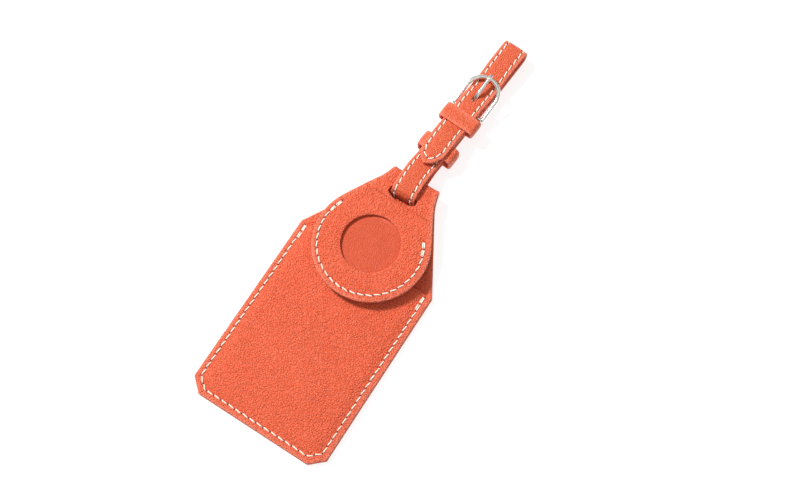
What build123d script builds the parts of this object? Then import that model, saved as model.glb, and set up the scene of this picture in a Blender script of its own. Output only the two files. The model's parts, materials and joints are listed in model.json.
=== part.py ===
from build123d import *
import os
from math import acos, atan2, cos, degrees, hypot, radians, sin

# Leather luggage tag: a card pocket whose back runs on, folds over at the neck and comes down as a
# round flap with a window. A buckled strap is threaded through the neck.
# Units are millimetres. Z is up through the thickness, Y runs from the pocket towards the strap and
# X runs across. The tag lies on its back on z = 0, and the origin is under the middle of the object.

os.makedirs("parts", exist_ok=True)

# --- Driving dimensions: body. Distances "up" the tag are counted from its bottom edge. ---
body_width = 62.0
corner_cut_x = 5.6
corner_cut_y = 5.1
corner_share = 0.45  # how much a cut corner shrinks for each millimetre of inset
shoulder_up = 80.2
fold_up = 118.5
fold_half_width = 10.5
flare_up = 109.5
flare_half_width = 13.7
leather = 1.4
front_leather = 1.2
card_gap = 0.6

# The back rises from the table towards the fold, so that the strap passes under the neck.
ramp_up = 92.0
fold_bottom = 2.6
fold_top = 7.6

# --- Driving dimensions: flap ---
flap_x = -0.6
window_x = -0.9
window_up = 85.3
window_radius = 12.0
flap_radius = 23.8
flap_seam_radius = 21.3
flap_seam_start = 155
flap_seam_sweep = 239
lining_top_up = 98.0
lining_leather = 1.2
lining_inset = 0.2
neck_low_up = 99.5
neck_high_up = 105.5
slot_x = -0.8
slot_width = 12.6
slot_low_up = 105.7
slot_end_up = 107.6
slot_high_up = 110.3
slot_corner = 1.2
slit_low_up = 107.6
slit_high_up = 109.9
slit_corner = 1.0

# --- Driving dimensions: card and seams ---
card_width = 50.0
card_height = 72.0
card_thickness = 0.3
hem = 4.2
seam_inset = 2.7
stitch_length = 2.5
stitch_pitch = 3.3
thread = 0.6
groove_depth = 0.3
groove_width = 0.9

# --- Driving dimensions: strap. Distances "out" along the strap are counted from the fold. ---
strap_lean = 4.2
strap_bend_lean = -1.7
strap_x = -1.6
strap_width = 10.6
strap_leather = 1.4
strap_reach = 72.0
strap_start = 4.0
strap_seam = 3.65
strap_channel = 0.35
strap_thread = 0.3
return_high = 1.8
return_low = 0.7
middle_height = 5.7
tongue_high = 8.3
tongue_low = 7.2
tongue_dip = 5.5
loop_height = 6.5
tip_out = 6.0
tip_length = 8.0

# --- Driving dimensions: keepers ---
keeper_leather = 1.0
keeper_side = 1.1
keeper_width = 7.0
keeper_shift = 0.4
keeper_outer_round = 1.9
keeper_inner_round = 1.0
fixed_keeper_out = 27.0
fixed_keeper_half = 8.4
fixed_keeper_low = 3.7
fixed_keeper_high = 9.0
loose_keeper_out = 12.2
loose_keeper_half = 8.3
loose_keeper_high = 7.5

# --- Driving dimensions: buckle ---
bar_out = 36.0
bar_height = 4.5
bar_radius = 0.8
frame_wire = 0.95
frame_half_width = 7.05
frame_shift = 0.5
arch_out = 52.0
arch_height = 7.75
prong_width = 1.7
prong_thickness = 1.2
eye_clearance = 0.05
eye_wall = 0.75
wrap_clearance = 0.08
wrap_wall = 1.02
foldback_end_out = 25.6
foldback_leather = 0.9
notch_width = 2.5
hole_length = 6.0
hole_room = 1.0
hole_shift = 0.25

# --- Derived places ---
lean = radians(strap_lean)
bend_lean = radians(strap_bend_lean)
overall_length = fold_up + strap_reach * cos(lean) + strap_width / 2 * sin(lean)
bottom_y = -overall_length / 2
half_width = body_width / 2
fold_radius = (fold_top - fold_bottom) / 2
ply_height = fold_top - leather / 2
lining_top = fold_top - leather - 0.1
strap_thread_height = strap_leather / 2 - strap_thread / 2

tag_top = Plane(origin=(0, bottom_y, 0), x_dir=(1, 0, 0), z_dir=(0, 0, 1))
tag_side = Plane(origin=(0, bottom_y, 0), x_dir=(0, 1, 0), z_dir=(1, 0, 0))
strap_origin = (strap_x, bottom_y + fold_up, 0)
strap_across = (cos(lean), -sin(lean), 0)
strap_along = (sin(lean), cos(lean), 0)
strap_top = Plane(origin=strap_origin, x_dir=strap_across, z_dir=(0, 0, 1))
strap_side = Plane(origin=strap_origin, x_dir=strap_along, z_dir=strap_across)


def body_outline():
    """Outline of the back: a chamfered pocket that narrows in two straight flanks to the fold."""
    flank = (flare_half_width - half_width, flare_up - shoulder_up)
    with BuildSketch() as outline:
        with BuildLine():
            Polyline(
                (0, 0),
                (half_width - corner_cut_x, 0),
                (half_width, corner_cut_y),
                (half_width, shoulder_up),
                (flare_half_width, flare_up),
            )
            TangentArc((flare_half_width, flare_up), (fold_half_width, fold_up), tangent=flank)
            Polyline(
                (fold_half_width, fold_up), (fold_half_width, fold_up + 1), (0, fold_up + 1), (0, 0)
            )
        make_face()
        mirror(about=Plane.YZ)
    return outline.sketch


def flap_outline():
    """Outline of the flap: a disc round the window whose tangents run up to the neck's flare."""
    rise = flare_up - window_up
    away = hypot(flare_half_width, rise)
    touch = atan2(rise, flare_half_width) - acos(flap_radius / away)
    touch_point = (flap_radius * cos(touch), window_up + flap_radius * sin(touch))
    middle = (touch - radians(90)) / 2
    on_arc = (flap_radius * cos(middle), window_up + flap_radius * sin(middle))
    with BuildSketch() as outline:
        with BuildLine():
            Line((0, window_up - flap_radius), (0, flare_up))
            Line((0, flare_up), (flare_half_width, flare_up))
            Line((flare_half_width, flare_up), touch_point)
            ThreePointArc(touch_point, on_arc, (0, window_up - flap_radius))
        make_face()
        mirror(about=Plane.YZ)
    return outline.sketch


def slot_outline():
    """The upper layer's strap slot: straight on the fold's side and bowed on the flap's side."""
    left = slot_x - slot_width / 2
    right = slot_x + slot_width / 2
    with BuildSketch() as slot:
        with BuildLine():
            ThreePointArc((left, slot_end_up), (slot_x, slot_low_up), (right, slot_end_up))
            Polyline(
                (right, slot_end_up), (right, slot_high_up), (left, slot_high_up), (left, slot_end_up)
            )
        make_face()
        fillet(slot.vertices(), radius=slot_corner)
    return slot.sketch


def pocket_outline(inset, top):
    """The pocket's chamfered outline, drawn in by inset on three sides and ending at top."""
    side = half_width - inset
    cut_x = corner_cut_x - inset * corner_share
    cut_y = corner_cut_y - inset * corner_share
    with BuildSketch() as outline:
        with BuildLine():
            Polyline(
                (-side, top),
                (-side, inset + cut_y),
                (-side + cut_x, inset),
                (side - cut_x, inset),
                (side, inset + cut_y),
                (side, top),
                close=True,
            )
        make_face()
    return outline.sketch


def stitches(path, first, last, height=0.0, thickness=thread):
    """Evenly pitched stitches on the current sketch, laid along path between two lengths."""
    count = round((last - first) / stitch_pitch)
    for number in range(count):
        at = first + (number + 0.5) * (last - first) / count
        spot = path.position_at(at, position_mode=PositionMode.LENGTH)
        turn = path.tangent_angle_at(at, position_mode=PositionMode.LENGTH)
        with Locations(Location((spot.X, spot.Y, 0), (0, 0, turn))):
            with Locations((0, height)):
                RectangleRounded(stitch_length, thickness, thickness * 0.45)


# --- Seam lines ---
seam_side = half_width - seam_inset
seam_cut_x = corner_cut_x - seam_inset * corner_share
seam_cut_y = corner_cut_y - seam_inset * corner_share
pocket_seam = Polyline(
    (-seam_side, shoulder_up - 1.0),
    (-seam_side, seam_inset + seam_cut_y),
    (-seam_side + seam_cut_x, seam_inset),
    (seam_side - seam_cut_x, seam_inset),
    (seam_side, seam_inset + seam_cut_y),
    (seam_side, shoulder_up - 1.0),
)
flap_seam = CenterArc((window_x, window_up), flap_seam_radius, flap_seam_start, flap_seam_sweep)

# --- Back panel: back, neck and fold, one piece of leather up to the flap's bending neck ---
with BuildPart() as back_panel:
    with BuildSketch(tag_side):
        with BuildLine():
            FilletPolyline(
                (0, leather / 2),
                (ramp_up, leather / 2),
                (fold_up - leather / 2, fold_bottom + leather / 2 + 0.1),
                (fold_up - leather / 2, ply_height),
                (neck_high_up, ply_height),
                radius=[20, fold_radius - leather / 2 - 0.1, fold_radius - leather / 2 - 0.1],
            )
        trace(line_width=leather)
    extrude(amount=half_width, both=True)
    with BuildSketch(tag_top):
        add(body_outline())
    extrude(amount=fold_top + 1, mode=Mode.INTERSECT)
    with BuildSketch(tag_top.offset(fold_bottom + fold_radius)):
        add(slot_outline())
    extrude(amount=fold_radius + 1, mode=Mode.SUBTRACT)
    with BuildSketch(tag_top):
        with Locations((slot_x, (slit_low_up + slit_high_up) / 2)):
            RectangleRounded(slot_width, slit_high_up - slit_low_up, slit_corner)
    extrude(amount=fold_bottom + fold_radius, mode=Mode.SUBTRACT)
    with BuildSketch(tag_top):
        with BuildLine():
            add(pocket_seam)
        trace(line_width=groove_width)
    extrude(amount=groove_depth, mode=Mode.SUBTRACT)
back_panel.part.label = "back_panel"
export_step(back_panel.part, "parts/back_panel.step")

# --- Front panel: flat hem that is sewn down, and a raised middle that leaves room for the card ---
with BuildPart() as front_panel:
    with BuildSketch(tag_top.offset(leather)):
        add(pocket_outline(0, shoulder_up))
    extrude(amount=front_leather)
    with BuildSketch(tag_top.offset(leather)):
        add(pocket_outline(hem, shoulder_up))
    extrude(amount=front_leather + card_gap)
    raised = front_panel.faces().sort_by(Axis.Z)[-1]
    chamfer(raised.edges().sort_by(Axis.Y)[:-1], length=card_gap * 0.8)
    with BuildSketch(tag_top.offset(leather)):
        add(pocket_outline(hem + 0.8, shoulder_up))
    extrude(amount=card_gap, mode=Mode.SUBTRACT)
    with BuildSketch(tag_top.offset(leather + front_leather - groove_depth)):
        with BuildLine():
            add(pocket_seam)
        trace(line_width=groove_width)
    extrude(amount=groove_depth, mode=Mode.SUBTRACT)
front_panel.part.label = "front_panel"
export_step(front_panel.part, "parts/front_panel.step")

# --- Pocket stitching: a row on the front hem and the same row on the back ---
with BuildPart() as pocket_stitching:
    with BuildSketch(tag_top.offset(leather + front_leather - groove_depth)):
        stitches(pocket_seam, 0, pocket_seam.length)
    extrude(amount=thread)
    with BuildSketch(tag_top):
        stitches(pocket_seam, 0, pocket_seam.length)
    extrude(amount=groove_depth)
pocket_stitching.part.label = "pocket_stitching"
export_step(pocket_stitching.part, "parts/pocket_stitching.step")

# --- Address card: slides out of the pocket's open top ---
card_low = hem + 2.4
with BuildPart() as address_card:
    with BuildSketch(tag_top.offset(leather + (card_gap - card_thickness) / 2)):
        with Locations((0, card_low + card_height / 2)):
            RectangleRounded(card_width, card_height, 2.0)
    extrude(amount=card_thickness)
address_card.part.label = "address_card"
export_step(address_card.part, "parts/address_card.step")

# --- Flap neck: the band of the same leather that bends when the flap is lifted ---
with BuildPart() as flap_neck:
    with BuildSketch(tag_top.offset(fold_top - leather)):
        add(flap_outline().moved(Location((flap_x, 0))))
        with Locations((0, (neck_low_up + neck_high_up) / 2)):
            Rectangle(body_width, neck_high_up - neck_low_up, mode=Mode.INTERSECT)
    extrude(amount=leather)
flap_neck.part.label = "flap_neck"
export_step(flap_neck.part, "parts/flap_neck.step")

# --- Flap panel: the outer ply, with the round window ---
with BuildPart() as flap_panel:
    with BuildSketch(tag_top.offset(fold_top - leather)):
        add(flap_outline().moved(Location((flap_x, 0))))
        with Locations((0, neck_low_up + body_width / 2)):
            Rectangle(body_width, body_width, mode=Mode.SUBTRACT)
        with Locations((window_x, window_up)):
            Circle(window_radius, mode=Mode.SUBTRACT)
    extrude(amount=leather)
    window_rim = flap_panel.edges().filter_by(GeomType.CIRCLE).group_by(Axis.Z)[-1]
    fillet(window_rim.filter_by(lambda edge: edge.radius < window_radius + 1), radius=0.3)
    with BuildSketch(tag_top.offset(fold_top - groove_depth)):
        with BuildLine():
            add(flap_seam)
        trace(line_width=groove_width)
    extrude(amount=groove_depth, mode=Mode.SUBTRACT)
flap_panel.part.label = "flap_panel"
export_step(flap_panel.part, "parts/flap_panel.step")

# --- Flap lining: the inner ply, whose smooth face is the window's floor ---
with BuildPart() as flap_lining:
    with BuildSketch(tag_top.offset(lining_top - lining_leather)):
        with Locations((flap_x, window_up)):
            Circle(flap_radius - lining_inset)
        with Locations((0, lining_top_up + body_width / 2)):
            Rectangle(body_width, body_width, mode=Mode.SUBTRACT)
    extrude(amount=lining_leather)
    with BuildSketch(tag_top.offset(lining_top - lining_leather)):
        with BuildLine():
            add(flap_seam)
        trace(line_width=groove_width)
    extrude(amount=groove_depth, mode=Mode.SUBTRACT)
flap_lining.part.label = "flap_lining"
export_step(flap_lining.part, "parts/flap_lining.step")

# --- Flap stitching: an arc round the window on the flap's face and on its lining ---
with BuildPart() as flap_stitching:
    with BuildSketch(tag_top.offset(fold_top - groove_depth)):
        stitches(flap_seam, 0, flap_seam.length)
    extrude(amount=thread)
    with BuildSketch(tag_top.offset(lining_top - lining_leather)):
        stitches(flap_seam, 0, flap_seam.length)
    extrude(amount=groove_depth)
flap_stitching.part.label = "flap_stitching"
export_step(flap_stitching.part, "parts/flap_stitching.step")

# --- Strap loop: return layer along the table, round end, top layer and tongue ---
loop_turn = (loop_height - return_low) / 2
loop_end = strap_reach - strap_leather / 2
loop_path = FilletPolyline(
    (strap_start, return_low + 0.3),
    (7.5, return_high),
    (29.0, return_high),
    (41.0, return_low),
    (loop_end, return_low),
    (loop_end, loop_height),
    (58.0, loop_height),
    (53.5, tongue_dip),
    (46.0, tongue_dip),
    (38.5, tongue_low),
    (26.8, tongue_low),
    (23.0, tongue_high),
    (tip_out, tongue_high),
    radius=[6, 12, 12, loop_turn - 0.01, loop_turn - 0.01, 6, 6, 6, 6, 5, 5],
)
prong_low = (40.4, 5.35)
prong_high = (43.6, 8.2)
hole_turn = atan2(prong_high[1] - prong_low[1], prong_high[0] - prong_low[0])
with BuildPart() as strap_loop:
    with BuildSketch(strap_side):
        with BuildLine():
            add(loop_path)
        trace(line_width=strap_leather)
    extrude(amount=strap_width / 2, both=True)
    # Shallow channels for the two rows of stitches, on both faces.
    for row in (-strap_seam, strap_seam):
        with BuildSketch(strap_side.offset(row)):
            with BuildLine():
                add(loop_path)
            trace(line_width=strap_leather + 0.2)
            trace(loop_path, line_width=strap_leather - 2 * strap_channel, mode=Mode.SUBTRACT)
        extrude(amount=groove_width / 2, both=True, mode=Mode.SUBTRACT)
    # The tongue's end comes to a blunt rounded point.
    tip_half = strap_width / 2
    with BuildSketch(strap_top.offset(tongue_high - strap_leather)):
        with BuildLine():
            Polyline(
                (-tip_half - 1, tip_out + tip_length),
                (-tip_half, tip_out + tip_length),
                (-0.85 * tip_half, tip_out + 0.43 * tip_length),
                (-0.35 * tip_half, tip_out + 0.07 * tip_length),
                (0.35 * tip_half, tip_out + 0.07 * tip_length),
                (0.85 * tip_half, tip_out + 0.43 * tip_length),
                (tip_half, tip_out + tip_length),
                (tip_half + 1, tip_out + tip_length),
                (tip_half + 1, tip_out - 1),
                (-tip_half - 1, tip_out - 1),
                close=True,
            )
        make_face()
    extrude(amount=2 * strap_leather, mode=Mode.SUBTRACT)
    # The prong hole runs through the leather along the prong, with room for the prong's swing.
    hole_out = (prong_low[0] + prong_high[0]) / 2 - hole_shift
    hole_height = (prong_low[1] + prong_high[1]) / 2 + hole_shift
    with BuildSketch(strap_side):
        with Locations(Location((hole_out, hole_height, 0), (0, 0, degrees(hole_turn)))):
            Rectangle(hole_length, prong_thickness + hole_room)
    extrude(amount=prong_width / 2 + hole_shift, both=True, mode=Mode.SUBTRACT)
strap_loop.part.label = "strap_loop"
export_step(strap_loop.part, "parts/strap_loop.step")

# --- Strap buckle end: middle layer, wrap round the bar and the skived fold-back ---
middle_path = FilletPolyline(
    (strap_start, 7.0), (8.0, middle_height), (bar_out, middle_height), radius=5
)
wrap_radius = bar_radius + wrap_clearance
wrap_outer = wrap_radius + wrap_wall
with BuildPart() as strap_buckle_end:
    with BuildSketch(strap_side):
        with BuildLine():
            add(middle_path)
        trace(line_width=strap_leather)
        with Locations((bar_out, bar_height)):
            Circle(wrap_outer)
        foldback = bar_out - foldback_end_out
        with Locations((bar_out - foldback / 2, bar_height - wrap_outer + foldback_leather / 2)):
            Rectangle(foldback, foldback_leather)
        with Locations((bar_out, bar_height)):
            Circle(wrap_radius, mode=Mode.SUBTRACT)
    extrude(amount=strap_width / 2, both=True)
    with BuildSketch(strap_top):
        with Locations((0, bar_out + 1.0)):
            Rectangle(notch_width, 2 * wrap_outer + 2.0)
    extrude(amount=fold_top, mode=Mode.SUBTRACT)
    for row in (-strap_seam, strap_seam):
        with BuildSketch(strap_side.offset(row)):
            with BuildLine():
                add(middle_path)
            trace(line_width=strap_leather + 0.2)
            trace(middle_path, line_width=strap_leather - 2 * strap_channel, mode=Mode.SUBTRACT)
        extrude(amount=groove_width / 2, both=True, mode=Mode.SUBTRACT)
strap_buckle_end.part.label = "strap_buckle_end"
export_step(strap_buckle_end.part, "parts/strap_buckle_end.step")

# --- Strap bend: the strap's flexible stretch, under the fold, up through both slots and over ---
bend_origin = (slot_x - 0.1, bottom_y + (slit_low_up + slit_high_up) / 2, 0)
bend_side = Plane(
    origin=bend_origin,
    x_dir=(sin(bend_lean), cos(bend_lean), 0),
    z_dir=(cos(bend_lean), -sin(bend_lean), 0),
)
with BuildPart() as strap_bend:
    with BuildSketch(bend_side):
        with BuildLine():
            FilletPolyline(
                (13.2, 0.95),
                (9.0, 0.8),
                (0, 0.8),
                (0, 8.9),
                (6.5, 9.2),
                (13.2, 7.4),
                radius=[8, 0.75, 3.2, 8],
            )
        trace(line_width=strap_leather)
    extrude(amount=strap_width / 2, both=True)
strap_bend.part.label = "strap_bend"
export_step(strap_bend.part, "parts/strap_bend.step")


# --- Loop stitching: rows on the outer face of the loop, round to the tongue's pointed end ---
tongue_length = tip_length + 0.5
tip_seam = FilletPolyline(
    (-strap_seam, tip_out + tip_length + 0.4),
    (-strap_seam + 0.2, tip_out + tip_length - 1.2),
    (0, tip_out + 2.4),
    (strap_seam - 0.2, tip_out + tip_length - 1.2),
    (strap_seam, tip_out + tip_length + 0.4),
    radius=[1.2, 1.6, 1.2],
)
with BuildPart() as loop_stitching:
    for row in (-strap_seam, strap_seam):
        with BuildSketch(strap_side.offset(row)):
            stitches(loop_path, 0.5, loop_path.length - tongue_length, -strap_thread_height, strap_thread)
        extrude(amount=thread / 2, both=True)
    with BuildSketch(strap_top.offset(tongue_high + strap_leather / 2)):
        stitches(tip_seam, 0, tip_seam.length)
    extrude(amount=thread * 0.7)
    # Round the loop's tight end the straight stitches are hollowed to fit the leather.
    add(strap_loop.part, mode=Mode.SUBTRACT)
loop_stitching.part.label = "loop_stitching"
export_step(loop_stitching.part, "parts/loop_stitching.step")

# --- Buckle-end stitching: the rows on the middle layer, up to the fixed keeper ---
with BuildPart() as buckle_end_stitching:
    for row in (-strap_seam, strap_seam):
        with BuildSketch(strap_side.offset(row)):
            stitches(
                middle_path, 0.5, fixed_keeper_out - strap_start - 0.5, strap_thread_height, strap_thread
            )
        extrude(amount=thread / 2, both=True)
buckle_end_stitching.part.label = "buckle_end_stitching"
export_step(buckle_end_stitching.part, "parts/buckle_end_stitching.step")


def keeper_section(half, low, high, wall):
    """Cross-section of a leather keeper: a rounded ring with flat plates above and below."""
    middle = (low + high) / 2
    with Locations((keeper_shift, middle)):
        RectangleRounded(2 * half, high - low, keeper_outer_round)
        inner_width = 2 * (half - wall)
        inner_height = high - low - 2 * keeper_leather
        RectangleRounded(inner_width, inner_height, keeper_inner_round, mode=Mode.SUBTRACT)


# --- Fixed keeper: its lower plate is sewn between the middle layer and the fold-back ---
across_strap = Plane(
    origin=strap_origin, x_dir=strap_across, z_dir=(-strap_along[0], -strap_along[1], 0)
)
with BuildPart() as fixed_keeper:
    with BuildSketch(across_strap.offset(-fixed_keeper_out)):
        keeper_section(fixed_keeper_half, fixed_keeper_low, fixed_keeper_high, keeper_side)
    extrude(amount=-keeper_width)
fixed_keeper.part.label = "fixed_keeper"
export_step(fixed_keeper.part, "parts/fixed_keeper.step")

# --- Loose keeper: slides along the middle and return layers, under the tongue ---
with BuildPart() as loose_keeper:
    with BuildSketch(across_strap.offset(-loose_keeper_out)):
        keeper_section(loose_keeper_half, 0, loose_keeper_high, keeper_side)
    extrude(amount=-keeper_width)
loose_keeper.part.label = "loose_keeper"
export_step(loose_keeper.part, "parts/loose_keeper.step")

# --- Buckle frame: horseshoe of round wire with a straight bar, tilted up to clear the strap ---
frame_tilt = atan2(arch_height - bar_height, arch_out - bar_out)
frame_reach = hypot(arch_height - bar_height, arch_out - bar_out)
bar_point = strap_top.from_local_coords(Vector(frame_shift, bar_out, bar_height))
frame_along = Vector(*strap_along) * cos(frame_tilt) + Vector(0, 0, sin(frame_tilt))
frame_normal = Vector(*strap_across).cross(frame_along)
frame_plane = Plane(origin=bar_point, x_dir=strap_across, z_dir=frame_normal)
leg_plane = Plane(
    origin=frame_plane.from_local_coords(Vector(-frame_half_width, 0, 0)),
    x_dir=strap_across,
    z_dir=frame_along,
)
with BuildPart() as buckle_frame:
    with BuildLine(frame_plane):
        leg = frame_reach - frame_half_width
        Line((-frame_half_width, 0), (-frame_half_width, leg))
        ThreePointArc((-frame_half_width, leg), (0, frame_reach), (frame_half_width, leg))
        Line((frame_half_width, leg), (frame_half_width, 0))
    with BuildSketch(leg_plane):
        Circle(frame_wire)
    sweep()
    with BuildSketch(Plane(origin=bar_point, x_dir=frame_along, z_dir=strap_across)):
        Circle(bar_radius)
    extrude(amount=frame_half_width, both=True)
    with Locations(
        frame_plane.from_local_coords(Vector(-frame_half_width, 0, 0)),
        frame_plane.from_local_coords(Vector(frame_half_width, 0, 0)),
    ):
        Sphere(frame_wire)
buckle_frame.part.label = "buckle_frame"
export_step(buckle_frame.part, "parts/buckle_frame.step")

# --- Buckle prong: an eye round the bar and a bowed shank that lies on the arch ---
eye_inner = bar_radius + eye_clearance
with BuildPart() as buckle_prong:
    with BuildSketch(strap_side):
        with Locations((bar_out, bar_height)):
            Circle(eye_inner + eye_wall)
        with BuildLine():
            FilletPolyline(
                (bar_out, prong_low[1]),
                prong_low,
                prong_high,
                (arch_out, arch_height + frame_wire + prong_thickness / 2 + 0.15),
                (arch_out + 1.7, arch_height + frame_wire + 0.25),
                radius=[1.5, 2.0, 1.5],
            )
        trace(line_width=prong_thickness)
        with Locations((bar_out, bar_height)):
            Circle(eye_inner, mode=Mode.SUBTRACT)
    extrude(amount=prong_width / 2, both=True)
buckle_prong.part.label = "buckle_prong"
export_step(buckle_prong.part, "parts/buckle_prong.step")
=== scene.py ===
import json
import math
import random

import bpy
import numpy as np
from mathutils import Matrix, Vector
from mathutils.geometry import delaunay_2d_cdt


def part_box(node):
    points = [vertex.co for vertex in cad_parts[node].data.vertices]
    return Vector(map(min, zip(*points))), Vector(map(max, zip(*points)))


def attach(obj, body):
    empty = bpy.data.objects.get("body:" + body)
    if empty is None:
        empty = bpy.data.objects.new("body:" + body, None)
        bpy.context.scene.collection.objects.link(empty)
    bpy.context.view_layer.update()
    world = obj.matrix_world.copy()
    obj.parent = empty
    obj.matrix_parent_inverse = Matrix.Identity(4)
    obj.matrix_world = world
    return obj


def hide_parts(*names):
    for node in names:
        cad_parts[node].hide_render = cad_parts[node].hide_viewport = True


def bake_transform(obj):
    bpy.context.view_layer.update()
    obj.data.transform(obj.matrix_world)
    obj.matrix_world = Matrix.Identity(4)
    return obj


# Looks of a leather luggage tag. Every leather part but the keepers is a flat pattern, with x across
# and t along it, which is given its thickness, rolled edges and sewn channels and is then laid along a
# route in the side view. Lengths are millimetres until a mesh is made, and "up" is counted from the
# bottom edge.

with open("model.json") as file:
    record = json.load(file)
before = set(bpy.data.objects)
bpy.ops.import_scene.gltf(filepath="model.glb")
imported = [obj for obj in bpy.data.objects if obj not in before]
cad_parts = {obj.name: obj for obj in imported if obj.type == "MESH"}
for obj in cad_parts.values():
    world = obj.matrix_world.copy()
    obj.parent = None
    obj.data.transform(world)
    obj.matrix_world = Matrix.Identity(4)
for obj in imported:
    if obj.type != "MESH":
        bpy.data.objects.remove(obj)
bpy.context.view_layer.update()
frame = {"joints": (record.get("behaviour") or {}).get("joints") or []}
MM = 0.001
random.seed(7)


# ---------- places taken from the frame
def corners(node):
    """Lowest and highest corner of a CAD node, in millimetres."""
    low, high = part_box(node)
    return np.array(low) / MM, np.array(high) / MM


def joint(name):
    """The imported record's joint of that name."""
    return next(j for j in frame["joints"] if j["name"] == name)


back_low, back_high = corners("back_panel")
front_low, front_high = corners("front_panel")
flap_low, flap_high = corners("flap_panel")
lining_low, lining_high = corners("flap_lining")
card_low, card_high = corners("address_card")
bottom = back_low[1]
half_width = back_high[0]
shoulder = front_high[1] - bottom
fold = back_high[1] - bottom
fold_top = flap_high[2]
leather = 1.4

bar = np.array(joint("buckle_tilt")["pos_m"]) / MM
along = np.array(joint("keeper_slide")["axis"])
across = np.array([along[1], -along[0], 0.0])
bar_out = (bar[1] - (bottom + fold)) / along[1]
strap_origin = bar * (1, 1, 0) - along * bar_out

# ---------- driving dimensions of the looks
corner_cut = (5.6, 5.1)
flare = (13.7, 109.5)
fold_half = 10.5
flap_x = (flap_low[0] + flap_high[0]) / 2
window_x = -0.9
window_up = 85.3
window_radius = 12.0
flap_radius = 23.8
flap_seam_radius = 21.3
flap_seam_degrees = (155, 394)
lining_inset = 0.2
neck_cut, neck_end = 105.5, 99.5
slot_x = -0.8
slot_half = 6.3
slot_low, slot_end, slot_high = 105.7, 107.6, 110.3
slot_corner = 1.15
slit_low, slit_high = 108.1, 109.35
slit_slant = 0.16
seam_inset, seam_corner_share = 2.7, 0.45
front_inset = 0.25
strap_half = 5.3
strap_seam = 3.65

# Seams: the needle holes' spacing, the channel that the thread pulls into the leather, and the needle
# holes in it. no_hole is the distance that is stored where there is no hole.
pitch = 3.3
thread_radius = 0.3
channel_depth, channel_half = 0.24, 0.62
hole_depth, hole_half = 0.36, 0.34
guide_rows = (-0.95, -0.6, -0.3, 0, 0.3, 0.6, 0.95)
guides_per_stitch = 9
stitch_gap = 0.28
no_hole = 9.0

# Meshes: spacing of the points on borders, round cuts and inside, how an edge is rolled, and how its painted
# highlight spreads onto the roll and fades at holes.
border_step, cut_step, inner_step = 0.7, 0.35, 1.6
rim_row = 0.55
roll_degrees = (60, 32, 8, -8, -32, -60)
roll_highlight_boost = 0.4
hole_highlight_gap = 1.6


# ---------- lines and routes
def unit(v):
    return v / np.linalg.norm(v)


def fillet(points, radii, closed=True, steps=10):
    """Polyline through points, each corner rounded by its radius or kept where that is 0."""
    points = [np.array(p, float) for p in points]
    made = []
    for i, p in enumerate(points):
        radius = radii if np.isscalar(radii) else radii[i]
        if radius == 0 or (not closed and i in (0, len(points) - 1)):
            made.append(p)
            continue
        into = unit(p - points[i - 1])
        out = unit(points[(i + 1) % len(points)] - p)
        turn = math.atan2(into[0] * out[1] - into[1] * out[0], into @ out)
        cut = radius * math.tan(abs(turn) / 2)
        side = np.array([-into[1], into[0]]) * math.copysign(1, turn)
        centre = p - into * cut + side * radius
        for k in range(steps + 1):
            angle = turn * k / steps
            c, s = math.cos(angle), math.sin(angle)
            arm = -side * radius
            made.append(centre + [arm[0] * c - arm[1] * s, arm[0] * s + arm[1] * c])
    return np.array(made)


def spaced(points, step, closed=True):
    """The same polyline with points added on its long runs, about step apart."""
    made = []
    count = len(points)
    for i in range(count if closed else count - 1):
        a, b = points[i], points[(i + 1) % count]
        parts = max(1, round(np.linalg.norm(b - a) / step))
        made += [a + (b - a) * k / parts for k in range(parts)]
    if not closed:
        made.append(points[-1])
    return np.array(made)


def arc(centre, radius, first, last, step):
    """Points on an arc between two angles in degrees."""
    count = max(2, round(abs(math.radians(last - first)) * radius / step))
    angles = np.radians(np.linspace(first, last, count + 1))
    return np.stack([centre[0] + radius * np.cos(angles), centre[1] + radius * np.sin(angles)], 1)


class Line:
    """A polyline that can be read at any length along it."""

    def __init__(self, points):
        self.points = np.array(points, float)
        steps = np.diff(self.points, axis=0)
        self.lengths = np.concatenate([[0], np.cumsum(np.linalg.norm(steps, axis=1))])
        self.total = self.lengths[-1]
        self.turned = np.unwrap(np.arctan2(steps[:, 1], steps[:, 0]))
        self.middle = (self.lengths[1:] + self.lengths[:-1]) / 2

    def at(self, t):
        """Both coordinates and the heading at length t, which may be an array."""
        a = np.interp(t, self.lengths, self.points[:, 0])
        b = np.interp(t, self.lengths, self.points[:, 1])
        return a, b, np.interp(t, self.middle, self.turned)

    def offset(self, t, n):
        """The point at length t, moved n to the right of the direction of travel."""
        a, b, heading = self.at(t)
        return a + n * np.sin(heading), b - n * np.cos(heading)


def route(bends, steps):
    """Line through bends in the side view: each is its place along, its height and its radius."""
    return Line(fillet([b[:2] for b in bends], [b[2] for b in bends], closed=False, steps=steps))


def distance_to(points, line, closed=False):
    """Distance of each point from a polyline."""
    a = np.asarray(line, float)
    b = np.roll(a, -1, axis=0)
    if not closed:
        a, b = a[:-1], b[:-1]
    d = b - a
    size = np.maximum((d * d).sum(1), 1e-12)
    nearest = np.full(len(points), 1e9)
    for k in range(0, len(points), 4000):
        p = points[k : k + 4000, None, :]
        share = np.clip(((p - a) * d).sum(2) / size, 0, 1)
        gap = p - a - share[..., None] * d
        nearest[k : k + 4000] = np.sqrt((gap * gap).sum(2)).min(1)
    return nearest


def inside(points, loop):
    """Whether each point lies within a closed loop."""
    a, b = loop, np.roll(loop, -1, axis=0)
    found = np.zeros(len(points), bool)
    for k in range(0, len(points), 4000):
        x, y = points[k : k + 4000, 0, None], points[k : k + 4000, 1, None]
        spans = (a[:, 1] > y) != (b[:, 1] > y)
        rise = np.where(b[:, 1] == a[:, 1], 1e-12, b[:, 1] - a[:, 1])
        cross = a[:, 0] + (y - a[:, 1]) * (b[:, 0] - a[:, 0]) / rise
        found[k : k + 4000] = ((spans & (x < cross)).sum(1) % 2) == 1
    return found


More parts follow.
